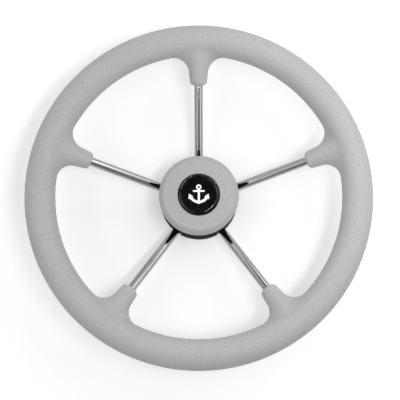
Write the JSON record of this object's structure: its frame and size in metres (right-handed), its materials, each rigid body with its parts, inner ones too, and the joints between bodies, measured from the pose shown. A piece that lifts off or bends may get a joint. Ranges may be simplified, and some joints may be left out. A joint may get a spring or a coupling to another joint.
{
  "type": "boat steering wheel",
  "caption": "Dished boat steering wheel with steel spokes, a one-piece soft grip with boots over the spoke ends, and a round hub with a pull-off cap.",
  "frame": {"origin": "centre of the hub's back face, on the wheel's axis, where the wheel rests face up", "axes": "+Z along the wheel's axis towards the driver, +Y towards the spoke at 12 o'clock"},
  "size_m": [0.35, 0.35, 0.0794],
  "materials": {
    "grip_polyurethane": "soft polyurethane with a fine moulded grain, satin",
    "stainless_tube": "drawn stainless tube",
    "polished_stainless": "mirror-polished stainless tube",
    "turned_stainless": "turned stainless steel",
    "black_moulding": "glossy black moulded plastic",
    "soft_touch_cap": "grey soft-touch coating over a moulded cap",
    "black_rubber": "moulded rubber",
    "badge_black": "black printed film",
    "clear_resin": "clear poured resin dome"
  },
  "bodies": {
    "wheel": {"grip": "grip_polyurethane", "rim_ring": "stainless_tube", "spoke_top": "polished_stainless", "spoke_upper_left": "polished_stainless", "spoke_lower_left": "polished_stainless", "spoke_lower_right": "polished_stainless", "spoke_upper_right": "polished_stainless", "hub_boss": "turned_stainless", "hub_shroud": "black_moulding", "shroud_screws": "turned_stainless"},
    "cap": {"hub_cap": "soft_touch_cap", "cap_o_ring": "black_rubber", "badge_disc": "badge_black", "badge_dome": "clear_resin"}
  },
  "joints": [
    {"name": "cap_pull", "type": "slide", "parent": "wheel", "child": "cap", "axis": [0, 0, 1], "range_m": [0, 0.03]}
  ]
}
